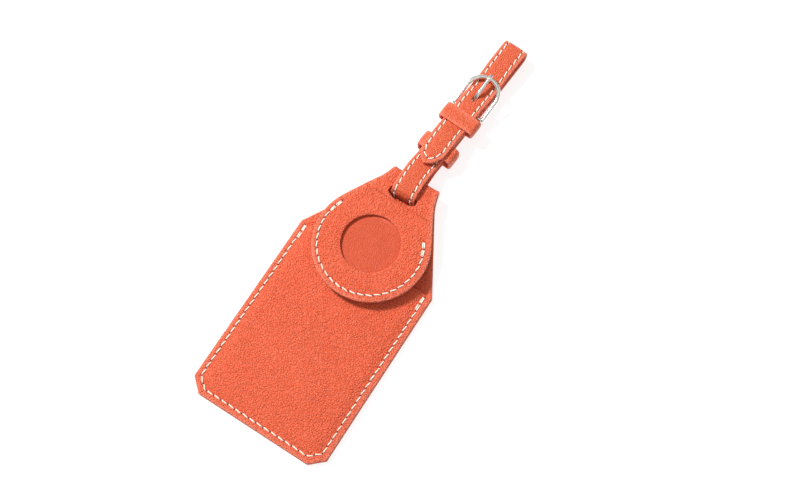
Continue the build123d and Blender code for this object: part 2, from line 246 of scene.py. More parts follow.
def smooth(t):
    """Eases from 0 to 1 as t does."""
    t = np.clip(t, 0, 1)
    return t * t * (3 - 2 * t)


def evenly(height):
    """A face at the same height everywhere."""
    return lambda p: np.full(len(p), height)


def mirrored(half):
    """The mirror images of a right half's points, and then the points themselves, back to front."""
    return [(-x, y) for x, y in half] + half[::-1]


def rectangle(low, high):
    """Corners from the lowest and the highest one, anticlockwise."""
    return [low, (high[0], low[1]), high, (low[0], high[1])]


# ---------- seams
class Seam:
    """A row of stitches along a line on a pattern, with a needle hole between each two."""

    def __init__(self, points, back_tack=0):
        self.line = Line(points)
        self.count = round(self.line.total / pitch)
        self.pitch = self.line.total / self.count
        self.back_tack = back_tack
        t = np.arange(self.count + 1) * self.pitch
        self.holes = np.stack(self.line.at(t)[:2], 1)

    def guides(self):
        """Pattern points beside the row, close enough to shape its channel and needle holes."""
        t = np.arange(self.count * guides_per_stitch + 1) * self.pitch / guides_per_stitch
        return np.concatenate([np.stack(self.line.offset(t, n), 1) for n in guide_rows])

    def depth(self, p):
        """How far the row pulls the leather down at each point, and the distance to a needle hole."""
        away = distance_to(p, self.line.points)
        hole = np.full(len(p), no_hole)
        for h in self.holes:
            hole = np.minimum(hole, np.hypot(p[:, 0] - h[0], p[:, 1] - h[1]))
        channel = channel_depth * np.exp(-((away / channel_half) ** 2))
        return channel + hole_depth * np.exp(-((hole / hole_half) ** 2)), hole


def depth_of(seams, p):
    """The deepest pull of several seams at each point, and the distance to a needle hole."""
    depth, hole = np.zeros(len(p)), np.full(len(p), no_hole)
    for seam in seams:
        d, h = seam.depth(p)
        depth, hole = np.maximum(depth, d), np.minimum(hole, h)
    return depth, hole


# ---------- meshes
def in_scene(name, data):
    """New object with that data, linked to the scene."""
    thing = bpy.data.objects.new(name, data)
    bpy.context.scene.collection.objects.link(thing)
    return thing


def new_mesh(name, points, faces, material, edge=None, hole=None):
    """Smooth mesh from points in millimetres, with what its material reads stored at each point."""
    mesh = bpy.data.meshes.new(name)
    mesh.from_pydata((np.asarray(points) * MM).tolist(), [], faces)
    mesh.validate()
    mesh.polygons.foreach_set("use_smooth", [True] * len(mesh.polygons))
    rest = mesh.attributes.new("rest", "FLOAT_VECTOR", "POINT")
    rest.data.foreach_set("vector", np.asarray(points, np.float32).ravel())
    for key, values in (("edge", edge), ("hole", hole)):
        if values is not None:
            stored = mesh.attributes.new(key, "FLOAT", "POINT")
            stored.data.foreach_set("value", np.asarray(values, np.float32))
    mesh.materials.append(material)
    return in_scene(name, mesh)


def outward(loop, cuts):
    """Unit vectors out of the leather along a loop; along a cut they only point sideways."""
    before, after = np.roll(loop, 1, axis=0), np.roll(loop, -1, axis=0)
    run = after - before
    normal = np.stack([run[:, 1], -run[:, 0]], 1)
    normal /= np.maximum(np.linalg.norm(normal, axis=1), 1e-9)[:, None]
    for cut in cuts:
        on = np.abs(loop[:, 1] - cut) < 1e-6
        if on.any():
            normal[on] = np.stack([loop[on, 0] / np.abs(loop[on, 0]).max(), np.zeros(on.sum())], 1)
    return normal


def leather_piece(
    name, loops, seams, place, outer, inner, rim, material, step=inner_step, cuts=(), sides=(1, 1), worn=None
):
    """Closed leather part from a pattern: outline first, then holes, all with the leather on their
    left. outer and inner give the faces' heights over the middle, place lays the pattern in space, rim
    is the rolled edge's radius, cuts are the lengths at which the leather goes on in another part,
    sides says which faces show the seams, and worn gives the edges painted pale as a highlight, if not all."""
    highlit = [(line, False) for line in worn] if worn else [(loop, True) for loop in loops]
    normals = [outward(loop, cuts) for loop in loops]
    inset = [loop - rim * n for loop, n in zip(loops, normals)]

    def from_edge(p):
        """Distance to the nearest edge with a painted highlight. A hole's edge gets a fainter one, so it
        counts as farther.
        """
        away = [distance_to(p, line, closed) for line, closed in highlit]
        return np.minimum.reduce(away[:1] + [d + hole_highlight_gap for d in away[1:]])

    def gap(p):
        return np.minimum.reduce([distance_to(p, loop, True) for loop in inset])

    def on_leather(p):
        kept = inside(p, inset[0])
        for hole in inset[1:]:
            kept &= ~inside(p, hole)
        return kept

    low, high = loops[0].min(0), loops[0].max(0)
    xs = np.arange(low[0] + step / 2, high[0], step)
    ts = np.arange(low[1] + step / 2, high[1], step * 0.87)
    grid = np.array([(x + (k % 2) * step / 2, t) for k, t in enumerate(ts) for x in xs])
    grid = grid[gap(grid) > rim_row + step * 0.55]
    near = np.concatenate([loop - (rim + rim_row) * n for loop, n in zip(loops, normals)])
    near = near[gap(near) > 0.4]
    for seam in seams:
        grid = grid[distance_to(grid, seam.line.points) > guide_rows[-1] + step * 0.5]
        near = near[distance_to(near, seam.line.points) > 1.2]
    free = np.concatenate([grid] + [s.guides() for s in seams])
    free = np.concatenate([free[gap(free) > 0.3], near])
    flat = np.concatenate(inset + [free[on_leather(free)]])

    edges, at = [], 0
    for loop in inset:
        edges += [(at + k, at + (k + 1) % len(loop)) for k in range(len(loop))]
        at += len(loop)
    made = delaunay_2d_cdt([Vector(p) for p in flat], edges, [], 0, 1e-5)
    source = [o[0] if o else -1 for o in made[3]]
    triangles = np.array([[source[v] for v in f] for f in made[2]])
    triangles = triangles[(triangles >= 0).all(1)]
    triangles = triangles[on_leather(flat[triangles].mean(1))]

    depth, hole = depth_of(seams, flat)
    top, under = outer(flat) - depth * sides[0], inner(flat) + depth * sides[1]
    points = [place(flat[:, 0], flat[:, 1], face) for face in (top, under)]
    edge, unsewn = from_edge(flat), np.full(len(flat), no_hole)
    edge_values, hole_values = [edge, edge], [hole if shown else unsewn for shown in sides]
    count = len(flat)
    faces = [tuple(int(v) for v in f) for f in triangles]
    faces += [tuple(int(v) + count for v in reversed(f)) for f in triangles]

    at, total = 0, 2 * count
    for loop, normal in zip(loops, normals):
        size = len(loop)
        up_face, low_face = top[at : at + size], under[at : at + size]
        half, middle = (up_face - low_face) / 2, (up_face + low_face) / 2
        rows = [np.arange(size) + at]
        for degrees in roll_degrees:
            turn = math.radians(degrees)
            p = loop - rim * (1 - math.cos(turn)) * normal
            n = middle + math.copysign(1, turn) * (half - rim * (1 - abs(math.sin(turn))))
            points.append(place(p[:, 0], p[:, 1], n))
            # The roll's outer rows count as nearer the edge, so the painted highlight is strongest on the
            # roll.
            edge_values.append(from_edge(loop) - roll_highlight_boost * math.cos(turn))
            hole_values.append(np.full(size, no_hole))
            rows.append(np.arange(size) + total)
            total += size
        rows.append(np.arange(size) + at + count)
        for a, b in zip(rows[:-1], rows[1:]):
            for k in range(size):
                m = (k + 1) % size
                faces.append((int(a[m]), int(a[k]), int(b[k]), int(b[m])))
        at += size
    values = np.concatenate(edge_values), np.concatenate(hole_values)
    piece = new_mesh(name, np.concatenate(points), faces, material, *values)
    for cut in cuts:
        sharpen_cut(piece, cut, place)
    return piece


def sharpen_cut(piece, cut, place):
    """Marks a cut's border sharp, so that the leather shades as one with the part beyond it."""
    ends = np.array([place(np.array([x]), np.array([cut]), np.array([0.0]))[0] for x in (-1.0, 1.0)])
    level = ends[:, 1].mean() * MM
    height = ends[:, 2].mean() * MM
    mesh = piece.data
    co = np.array([v.co for v in mesh.vertices])
    on = (np.abs(co[:, 1] - level) < 1e-7) & (np.abs(co[:, 2] - height) < leather * MM)
    sharp = mesh.attributes.get("sharp_edge") or mesh.attributes.new("sharp_edge", "BOOLEAN", "EDGE")
    sharp.data.foreach_set("value", [bool(on[e.vertices[0]] and on[e.vertices[1]]) for e in mesh.edges])


def tube(points, frames, radii, sides, twist=0.0, ridge=0.0):
    """Rings round a line of points, closed at both ends. Ridges wind round it like thread plies."""
    rings, faces = [], []
    for k, (p, (u, v), r) in enumerate(zip(points, frames, radii)):
        for m in range(sides):
            angle = 2 * math.pi * m / sides
            grown = r * (1 - ridge + ridge * abs(math.cos(1.5 * (angle + twist * k))))
            rings.append(p + grown * (math.cos(angle) * u + math.sin(angle) * v))
    for k in range(len(points) - 1):
        for m in range(sides):
            n = (m + 1) % sides
            faces.append((k * sides + m, k * sides + n, (k + 1) * sides + n, (k + 1) * sides + m))
    last = (len(points) - 1) * sides
    faces.append(tuple(range(sides - 1, -1, -1)))
    faces.append(tuple(range(last, last + sides)))
    return rings, faces


def join(points, faces, ring, skin, flip=False):
    """Adds a tube's points and faces to those of a mesh."""
    start = len(points)
    points += ring
    faces += [tuple(v + start for v in (f[::-1] if flip else f)) for f in skin]


def thread_piece(name, rows):
    """One object for several seams: each row is (seam, place, height of the face, side of it). Every
    stitch has its own slant and thickness, and those at a back-tacked end are doubled."""
    points, faces = [], []
    shares = np.linspace(-1, 1, 11)
    sunk, tack_apart, tack_slant = 0.13, 0.62, 0.2
    for seam, place, face, side in rows:
        for number in range(seam.count):
            tacked = number < seam.back_tack or number >= seam.count - seam.back_tack
            t = (number + 0.5) * seam.pitch + shares * (seam.pitch / 2 - stitch_gap)
            for extra in range(2 if tacked else 1):
                lean = shares * random.uniform(0.14, 0.26) + random.uniform(-0.06, 0.06)
                if tacked:
                    lean = lean - (tack_apart * extra + shares * tack_slant)
                x, y = seam.line.offset(t, lean)
                rise = 0.2 + 0.05 * extra - 0.62 * np.abs(shares) ** 5
                level = face(np.stack([x, y], 1)) + side * (rise - sunk)
                core = place(x, y, level)
                core[:, 2] = np.maximum(core[:, 2], 1.3 * thread_radius)
                radii = thread_radius * (1 - 0.3 * np.abs(shares) ** 6) * random.uniform(0.94, 1.05)
                frames = []
                for k in range(len(core)):
                    run = unit(core[min(k + 1, len(core) - 1)] - core[max(k - 1, 0)])
                    above = place(x[k : k + 1], y[k : k + 1], level[k : k + 1] + side)[0] - core[k]
                    u = unit(np.cross(above, run))
                    frames.append((u, np.cross(run, u)))
                join(points, faces, *tube(core, frames, radii, 10, twist=0.85, ridge=0.16))
    return new_mesh(name, points, faces, waxed)


# ---------- materials
class Nodes:
    """Short helpers for a material's node tree."""

    def __init__(self, name):
        self.material = bpy.data.materials.new(name)
        self.material.use_nodes = True
        self.tree = self.material.node_tree
        self.shader = self.tree.nodes["Principled BSDF"]

    def add(self, kind, **settings):
        node = self.tree.nodes.new(kind)
        for key, value in settings.items():
            setattr(node, key, value)
        return node

    def link(self, a, b):
        self.tree.links.new(a, b)

    def put(self, socket, value):
        """Sets a socket to a number or colour, or links it to another socket."""
        if isinstance(value, bpy.types.NodeSocket):
            self.link(value, socket)
        else:
            socket.default_value = value

    def shade(self, name, value):
        """Sets or links an input of the shader."""
        self.put(self.shader.inputs[name], value)

    def place(self, stretch=(1, 1, 1)):
        """Position on the piece at rest, in millimetres, stretched along the axes."""
        stored = self.add("ShaderNodeAttribute", attribute_name="rest")
        scaled = self.add("ShaderNodeVectorMath", operation="MULTIPLY")
        self.link(stored.outputs["Vector"], scaled.inputs[0])
        scaled.inputs[1].default_value = stretch
        return scaled.outputs[0]

    def value(self, name):
        """A number that is stored at each point."""
        return self.add("ShaderNodeAttribute", attribute_name=name).outputs["Fac"]

    def noise(self, where, scale, detail=3.0, roughness=0.55, colour=False):
        node = self.add("ShaderNodeTexNoise")
        self.link(where, node.inputs["Vector"])
        node.inputs["Scale"].default_value = scale
        node.inputs["Detail"].default_value = detail
        node.inputs["Roughness"].default_value = roughness
        return node.outputs["Color" if colour else "Fac"]

    def cells(self, where, scale, feature="DISTANCE_TO_EDGE", output="Distance"):
        node = self.add("ShaderNodeTexVoronoi", feature=feature)
        self.link(where, node.inputs["Vector"])
        node.inputs["Scale"].default_value = scale
        return node.outputs[output]

    def math(self, operation, a, b):
        node = self.add("ShaderNodeMath", operation=operation)
        self.put(node.inputs[0], a)
        self.put(node.inputs[1], b)
        return node.outputs[0]

    def span(self, value, low, high, to_low=0.0, to_high=1.0):
        """Eases from one number to another as value goes from low to high."""
        node = self.add("ShaderNodeMapRange", interpolation_type="SMOOTHSTEP")
        self.put(node.inputs["Value"], value)
        for key, number in zip(("From Min", "From Max", "To Min", "To Max"), (low, high, to_low, to_high)):
            node.inputs[key].default_value = number
        return node.outputs[0]

    def mix(self, share, a, b):
        node = self.add("ShaderNodeMix", data_type="RGBA")
        self.put(node.inputs["Factor"], share)
        self.put(node.inputs["A"], a)
        self.put(node.inputs["B"], b)
        return node.outputs["Result"]

    def bump(self, height, distance, under=None):
        node = self.add("ShaderNodeBump")
        node.inputs["Distance"].default_value = distance * MM
        node.inputs["Strength"].default_value = 1.0
        self.link(height, node.inputs["Height"])
        if under is not None:
            self.link(under, node.inputs["Normal"])
        return node.outputs[0]


def colour(r, g, b):
    """Opaque colour."""
    return (r, g, b, 1.0)


def leather_material(name, main, deep, light, rim, cell, grain_depth, roughness, grain_shade_and_highlight_share):
    """Dyed leather: pebbled grain in cells of that size with painted shade in its creases and painted
    highlight specks, uneven dye, a painted highlight along the rolled edges and painted shade in the
    needle holes."""
    n = Nodes(name)
    place = n.place()
    warp = n.add("ShaderNodeVectorMath", operation="SCALE")
    n.link(n.noise(place, 0.9 / cell, 2.0, colour=True), warp.inputs[0])
    warp.inputs["Scale"].default_value = 0.8 * cell
    bent = n.add("ShaderNodeVectorMath", operation="ADD")
    n.link(place, bent.inputs[0])
    n.link(warp.outputs[0], bent.inputs[1])
    pebble = n.span(n.cells(bent.outputs[0], 1 / cell, "F1"), 0.12, 0.72, 1.0, 0.0)
    crease = n.span(n.cells(bent.outputs[0], 1 / cell), 0.0, 0.22)
    pore_bumps_and_highlights = n.noise(place, 2.6 / cell, 3.0, 0.6)
    cloud = n.noise(place, 0.07, 4.0, 0.6)
    streak = n.noise(place, 0.5, 5.0, 0.65)

    tone = n.mix(n.span(cloud, 0.35, 0.75, 0.0, 0.3), main, deep)
    tone = n.mix(n.span(streak, 0.5, 0.85, 0.0, 0.22), tone, light)
    # Painted shade in the creases between the pebbles.
    tone = n.mix(n.span(pebble, 0.1, 0.75, grain_shade_and_highlight_share, 0.0), tone, deep)
    # Painted highlight specks on the grain.
    tone = n.mix(n.span(pore_bumps_and_highlights, 0.5, 0.72, 0.0, grain_shade_and_highlight_share * 0.8), tone, light)
    # Painted highlight along the rolled edges, broken up by noise: a broad faint band and a stronger one at
    # the edge itself.
    highlight_edge_distance = n.math("ADD", n.value("edge"), n.math("MULTIPLY", n.noise(place, 0.9, 3.0), -0.5))
    tone = n.mix(n.span(highlight_edge_distance, 0.2, 2.6, 0.38, 0.0), tone, rim)
    tone = n.mix(n.span(highlight_edge_distance, -0.45, 0.8, 0.6, 0.0), tone, rim)
    # Painted shade in the needle holes.
    tone = n.mix(n.span(n.value("hole"), 0.16, 0.56, 0.9, 0.0), tone, colour(0.10, 0.012, 0.006))
    n.shade("Base Color", tone)

    shine = n.math("ADD", n.span(streak, 0.3, 0.75, -0.05, 0.07), roughness)
    n.shade("Roughness", n.math("ADD", shine, n.span(pebble, 0.0, 1.0, 0.10, -0.03)))
    n.shade("Specular IOR Level", 0.45)
    n.shade("Sheen Weight", 0.02)
    height = n.math("ADD", n.math("MULTIPLY", pebble, 0.7), n.math("MULTIPLY", crease, 0.3))
    coarse = n.bump(n.noise(place, 0.22, 3.0), 0.12)
    grain = n.bump(height, grain_depth, coarse)
    n.shade("Normal", n.bump(pore_bumps_and_highlights, grain_depth * 0.5, grain))
    return n.material


def thread_material():
    """Waxed cream thread, a little dirty in patches."""
    n = Nodes("waxed_thread")
    place = n.place()
    dirt = n.noise(place, 1.3, 4.0)
    cream, soiled = colour(0.92, 0.85, 0.73), colour(0.78, 0.64, 0.50)
    n.shade("Base Color", n.mix(n.span(dirt, 0.4, 0.75), cream, soiled))
    n.shade("Roughness", n.span(dirt, 0.3, 0.8, 0.45, 0.65))
    n.shade("Sheen Weight", 0.15)
    n.shade("Normal", n.bump(n.noise(place, 14.0, 3.0), 0.05))
    return n.material


def metal_material():
    """Polished nickel plate with fine wear scratches."""
    n = Nodes("polished_nickel")
    place = n.place()
    wear = n.noise(place, 0.8, 5.0, 0.65)
    scratch = n.noise(n.place((6.0, 0.9, 2.0)), 2.2, 4.0, 0.7)
    bright, dull = colour(0.97, 0.95, 0.90), colour(0.80, 0.77, 0.70)
    n.shade("Metallic", 1.0)
    n.shade("Base Color", n.mix(n.span(wear, 0.35, 0.75), bright, dull))
    worn, scratched = n.span(wear, 0.3, 0.8, 0.07, 0.14), n.span(scratch, 0.55, 0.8, 0.0, 0.08)
    n.shade("Roughness", n.math("ADD", worn, scratched))
    n.shade("Normal", n.bump(scratch, 0.012))
    return n.material


def card_material():
    """Uncoated card with faint fibres."""
    n = Nodes("card_stock")
    place = n.place()
    fibre = n.noise(n.place((1.0, 5.0, 1.0)), 1.6, 5.0, 0.7)
    n.shade("Base Color", n.mix(fibre, colour(0.86, 0.84, 0.79), colour(0.80, 0.77, 0.70)))
    n.shade("Roughness", 0.75)
    n.shade("Normal", n.bump(n.noise(place, 3.0, 5.0, 0.7), 0.02))
    return n.material


# In each leather, deep also colours the painted shade in the grain's creases, light the painted highlight
# specks, and rim the painted highlight along the edges.
grained = leather_material(
    "grained_leather",
    main=colour(0.92, 0.126, 0.041),
    deep=colour(0.68, 0.070, 0.018),
    light=colour(0.98, 0.370, 0.240),
    rim=colour(0.95, 0.240, 0.140),
    cell=0.78,
    grain_depth=0.37,
    roughness=0.40,
    grain_shade_and_highlight_share=0.62,
)
plain = leather_material(
    "smooth_leather",
    main=colour(0.62, 0.073, 0.017),
    deep=colour(0.53, 0.055, 0.012),
    light=colour(0.74, 0.15, 0.07),
    rim=colour(0.88, 0.20, 0.115),
    cell=0.6,
    grain_depth=0.14,
    roughness=0.46,
    grain_shade_and_highlight_share=0.45,
)
strapping = leather_material(
    "strap_leather",
    main=colour(0.76, 0.115, 0.036),
    deep=colour(0.62, 0.074, 0.020),
    light=colour(0.86, 0.270, 0.160),
    rim=colour(0.92, 0.22, 0.13),
    cell=0.7,
    grain_depth=0.22,
    roughness=0.40,
    grain_shade_and_highlight_share=0.50,
)
waxed = thread_material()
nickel = metal_material()
card_stock = card_material()


# ---------- outlines
def tangent_arc(a, b, heading, step):
    """Arc from a to b that leaves a along heading."""
    heading = unit(np.array(heading, float))
    chord = np.subtract(b, a)
    normal = np.array([-heading[1], heading[0]])
    radius = (chord @ chord) / (2 * (chord @ normal))
    centre = np.array(a) + normal * radius
    first = math.degrees(math.atan2(a[1] - centre[1], a[0] - centre[0]))
    last = math.degrees(math.atan2(b[1] - centre[1], b[0] - centre[0]))
    last = first + (last - first + 180) % 360 - 180
    return arc(centre, abs(radius), first, last, step)


flank = (flare[0] - half_width, flare[1] - shoulder)
neck_curve = tangent_arc(flare, (fold_half, fold), flank, 0.8)
rise = flare[1] - window_up
touch = math.atan2(rise, flare[0]) - math.acos(flap_radius / math.hypot(flare[0], rise))
touch_point = (flap_radius * math.cos(touch), window_up + flap_radius * math.sin(touch))
flap_slope = (touch_point[0] - flare[0]) / (flare[1] - touch_point[1])


def half_at(up, on_flap):
    """Half width of the back, or of the flap, at a distance up the tag."""
    halves = [half_width - corner_cut[0], half_width, half_width, flare[0]]
    body = np.interp(up, [0, corner_cut[1], shoulder, flare[1]], halves)
    curve = np.interp(up, neck_curve[:, 1], neck_curve[:, 0])
    flap = flare[0] + (flare[1] - up) * flap_slope
    return np.where(up > flare[1], curve, np.where(on_flap, flap, body))


def slot_loop(low_length):
    """The upper layer's bowed strap slot, where the pattern's t runs down the tag."""
    bow = tangent_arc((slot_x, slot_low), (slot_x + slot_half, slot_end), (1, 0), 0.6)
    left = bow[::-1] * (-1, 1) + (2 * slot_x, 0)
    top = [(slot_x + slot_half, slot_high), (slot_x - slot_half, slot_high)]
    points = np.concatenate([left[:-1], bow, top])
    radii = [0] * len(points)
    for k in (0, len(left) + len(bow) - 2, -2, -1):
        radii[k] = slot_corner
    loop = spaced(fillet(points, radii, steps=6), cut_step)
    return np.stack([loop[:, 0], low_length - (loop[:, 1] - slot_low)], 1)


def without_cut(loop, cut):
    """The open run of a loop that leaves out its stretch along a cut."""
    on = np.abs(loop[:, 1] - cut) < 1e-6
    last = int(np.argmax(on & ~np.roll(on, -1)))
    rolled, off = np.roll(loop, -last, axis=0), ~np.roll(on, -last)
    first = int(np.nonzero(off)[0][-1]) + 1
    return rolled[: first + 1]


# ---------- back, neck and fold
# The leather lies flat up to lift_up, rises to the fold's lower corner and comes back as the upper ply.
fold_bottom, fold_ease = 2.6, 0.1
lift_up, lift_radius = 92.0, 20
fold_middle = fold - leather / 2
ply_middle = fold_top - leather / 2
fold_radius = (fold_top - fold_bottom) / 2 - leather / 2 - fold_ease
back_bends = [
    (0, leather / 2, 0),
    (lift_up, leather / 2, lift_radius),
    (fold_middle, fold_bottom + leather / 2 + fold_ease, fold_radius),
    (fold_middle, ply_middle, fold_radius),
    (neck_cut, ply_middle, 0),
]
back_route = route(back_bends, 14)


def place_back(x, t, n):
    up, z = back_route.offset(t, n)
    return np.stack([x, bottom + up, z], 1)


def back_length(up, upper):
    """Length along the back's route at a distance up the tag, on its upper or lower layer."""
    peak = int(np.argmax(back_route.points[:, 0]))
    part = slice(peak, None) if upper else slice(0, peak + 1)
    order = slice(None, None, -1) if upper else slice(None)
    return float(np.interp(up, back_route.points[part, 0][order], back_route.lengths[part][order]))


def back_outline():
    """The back's pattern outline, from the bottom edge round to the cut at the flap's neck."""
    end, fold_t = back_route.total, back_length(fold, False)
    body_t, neck_t = np.arange(corner_cut[1], shoulder, border_step), np.arange(shoulder, end, 0.55)
    t = np.concatenate([body_t, neck_t, [end]])
    side = np.stack([half_at(back_route.at(t)[0], t > fold_t), t], 1)
    aside = np.stack([flap_x * smooth((t - fold_t) / (end - fold_t)), np.zeros(len(t))], 1)
    low = [(0, 0), (half_width - corner_cut[0], 0), side[0]]
    low = spaced(np.array(low), border_step, closed=False)[1:-1]
    right = np.concatenate([low, side + aside])
    left = np.concatenate([low, side - aside])[::-1] * (-1, 1)
    top = spaced(np.array([right[-1], left[0]]), border_step, closed=False)[1:-1]
    return np.concatenate([[(0.0, 0.0)], right, top, left])


def pocket_line(top):
    """The pocket's seam line, from its left end at the mouth down and round to its right end."""
    side = half_width - seam_inset
    cut_x, cut_y = [c - seam_inset * seam_corner_share for c in corner_cut]
    half = [(side, top), (side, seam_inset + cut_y), (side - cut_x, seam_inset)]
    return fillet(mirrored(half), 1.2, closed=False, steps=5)


pocket_seam = Seam(pocket_line(shoulder - 1.0), back_tack=2)
slit_start, slit_stop = back_length(slit_low, False), back_length(slit_high, False)
slit_x, slit_half = slot_x - 0.1, strap_half - 0.05
slit_left, slit_right = slit_x - slit_half, slit_x + slit_half
slit_corners = [
    (slit_left, slit_start - slit_slant),
    (slit_left, slit_stop - slit_slant),
    (slit_right, slit_stop + slit_slant),
    (slit_right, slit_start + slit_slant),
]
lower_slot = spaced(fillet(slit_corners, 0.3, steps=4), cut_step)
upper_slot = slot_loop(back_length(slot_low, True))
back_loop = back_outline()
back = leather_piece(
    "back_leather",
    [back_loop, lower_slot, upper_slot],
    [pocket_seam],
    place_back,
    outer=evenly(leather / 2),
    inner=evenly(-leather / 2),
    rim=0.5,
    material=grained,
    cuts=[back_route.total],
    sides=(1, 0),
    worn=[without_cut(back_loop, back_route.total), lower_slot, upper_slot],
)
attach(back, "holder")
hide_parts("back_panel")


# ---------- front of the pocket
def front_outline():
    """Outline of the front, cut a little smaller than the back."""
    side, (cut_x, cut_y) = half_width - front_inset, [c - 0.1 for c in corner_cut]
    half = [(side, shoulder), (side, front_inset + cut_y), (side - cut_x, front_inset)]
    return spaced(fillet(mirrored(half), [0.5, 0.9, 0.9, 0.9, 0.9, 0.5], steps=4), border_step)


def place_flat(x, t, n):
    return np.stack([x, bottom + t, n], 1)


past_mouth = (half_width, shoulder + 40)
sewn_half = [past_mouth, (half_width, corner_cut[1]), (half_width - corner_cut[0], 0)]
sewn_sides = np.array(mirrored(sewn_half))


def front_swell(p):
    """How far the front stands off the hem: up over the card, and a little crowned."""
    away = distance_to(p, sewn_sides)
    crown = 0.22 * smooth((away - 6) / 20)
    return card_room * smooth((away - 3.7) / 2.6) + crown


card_room = 0.6
hem_top = front_low[2] + 1.2
thread_sunk = 0.12
front = leather_piece(
    "front_leather",
    [front_outline()],
    [pocket_seam],
    place_flat,
    outer=lambda p: hem_top + front_swell(p) - 0.18 * smooth((2.2 - distance_to(p, sewn_sides)) / 2.2),
    inner=lambda p: front_low[2] + 0.02 + np.minimum(front_swell(p), card_room),
    rim=0.42,
    material=grained,
    sides=(1, 0),
    worn=[without_cut(front_outline(), shoulder)],
)
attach(front, "holder")
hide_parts("front_panel")

pocket_thread = thread_piece(
    "pocket_thread",
    [
        (pocket_seam, place_flat, evenly(hem_top - thread_sunk), 1),
        (pocket_seam, place_back, evenly(leather / 2 - thread_sunk), 1),
    ],
)
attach(pocket_thread, "holder")
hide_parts("pocket_stitching")


# ---------- flap, its lining and stitching
def flap_outline():
    """Flap from the cut at the neck, down its straight sides and round the disc."""
    edge_x = float(half_at(np.array(neck_cut), True))
    low = math.degrees(touch)
    disc = arc((flap_x, window_up), flap_radius, 180 - low, 360 + low, border_step)
    loop = np.concatenate([[(flap_x - edge_x, neck_cut)], disc, [(flap_x + edge_x, neck_cut)]])
    return spaced(loop, border_step)


flap_seam = Seam(arc((window_x, window_up), flap_seam_radius, *flap_seam_degrees, 0.4), back_tack=2)
flap_edge = flap_outline()
flap_sewn_edge = flap_edge[flap_edge[:, 1] < 100]
window = arc((window_x, window_up), window_radius, 0, 360, 0.6)[:-1][::-1]


def flap_top(p):
    """The flap's face: sewn down round its edge and turned in a little at the window."""
    away = distance_to(p, flap_sewn_edge)
    below = smooth((101.0 - p[:, 1]) / 6)
    from_window = np.hypot(p[:, 0] - window_x, p[:, 1] - window_up) - window_radius
    drop = 0.2 * smooth((2.0 - away) / 2.0) * below + 0.16 * smooth((1.6 - from_window) / 1.6)
    return fold_top - drop


flap = leather_piece(
    "flap_leather",
    [flap_edge, window],
    [flap_seam],
    place_flat,
    outer=flap_top,
    inner=evenly(fold_top - leather),
    rim=0.5,
    material=grained,
    cuts=[neck_cut],
    sides=(1, 0),
    worn=[without_cut(flap_edge, neck_cut), window],
)
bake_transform(flap)
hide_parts("flap_neck", "flap_panel")

lining_radius = flap_radius - lining_inset
reach = math.degrees(math.asin((lining_high[1] - bottom - window_up) / lining_radius))
lining_arc = arc((flap_x, window_up), lining_radius, 180 - reach, 360 + reach, border_step)
lining = leather_piece(
    "lining_leather",
    [spaced(lining_arc, border_step)],
    [flap_seam],
    place_flat,
    outer=evenly(lining_high[2] - 0.05),
    inner=evenly(lining_low[2]),
    rim=0.42,
    material=plain,
    sides=(0, 1),
)
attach(lining, "flap")
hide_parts("flap_lining")

flap_thread = thread_piece(
    "flap_thread",
    [
        (flap_seam, place_flat, lambda p: flap_top(p) - thread_sunk, 1),
        (flap_seam, place_flat, evenly(lining_low[2] + thread_sunk), -1),
    ],
)
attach(flap_thread, "flap")
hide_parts("flap_stitching")

# ---------- address card
up_from_bottom = np.array([0, bottom])
card_corners = rectangle(card_low[:2] - up_from_bottom, card_high[:2] - up_from_bottom)
card = leather_piece(
    "address_card_paper",
    [spaced(fillet(card_corners, 2.0, steps=6), 1.5)],
    [],
    place_flat,
    outer=evenly(card_high[2]),
    inner=evenly(card_low[2]),
    rim=0.1,
    material=card_stock,
    step=4.0,
)
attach(card, "card")
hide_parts("address_card")

# ---------- strap: one band from wrap to tongue
bar_height = bar[2]
wrap = 1.2
loop_high = corners("strap_loop")[1]
loop_end = (loop_high[1] - bottom - fold - strap_half * along[0]) / along[1] - leather / 2
strap_x, strap_up, strap_lean_degrees = -0.9, 108.7, 1.7
straight_up, straight_run = 113.0, 17.0
strap_bends = [
    (bar_out - 10.4, bar_height - wrap, 0),
    (bar_out + wrap, bar_height - wrap, wrap - 0.01),
    (bar_out + wrap, bar_height + wrap, wrap - 0.01),
    (8.6, bar_height + wrap, 5),
    (3.6, 7.3, 8),
    (-3.3, 9.2, 8),
    (-9.8, 8.9, 3.2),
    (-9.8, 0.8, 0.75),
    (-0.8, 0.8, 8),
    (4.0, 1.0, 6),
    (7.5, 1.8, 6),
    (29.0, 1.8, 12),
    (41.0, 0.7, 12),
    (loop_end, 0.7, 2.88),
    (loop_end, 6.5, 2.88),
    (58.0, 6.5, 6),
    (53.5, 5.5, 6),
    (46.0, 5.5, 6),
    (38.5, 7.2, 6),
    (26.8, 7.2, 5),
    (23.0, 8.3, 5),
    (6.0, 8.3, 0),
]
strap_route = route(strap_bends, 14)


def strap_middle(out):
    """Sideways place of the strap's middle: askew through the slot, then straight along its lean."""
    up = fold + out * along[1]
    in_slot = strap_x - math.tan(math.radians(strap_lean_degrees)) * (up - strap_up)
    beyond = strap_origin[0] + out * along[0]
    return in_slot + (beyond - in_slot) * smooth((up - straight_up) / straight_run)


def place_strap(x, t, n):
    out, z = strap_route.offset(t, n)
    middle = strap_middle(out)
    slope = np.arctan((strap_middle(out + 0.1) - middle) / (0.1 * along[1]))
    y = bottom + fold + out * along[1]
    return np.stack([middle + x * np.cos(slope), y - x * np.sin(slope), z], 1)


def strap_length(corner, before=0.0):
    """Length along the strap's route where it passes nearest to a point in the side view."""
    away = np.hypot(strap_route.points[:, 0] - corner[0], strap_route.points[:, 1] - corner[1])
    away[strap_route.lengths < before] = 1e9
    return float(strap_route.lengths[int(np.argmin(away))])


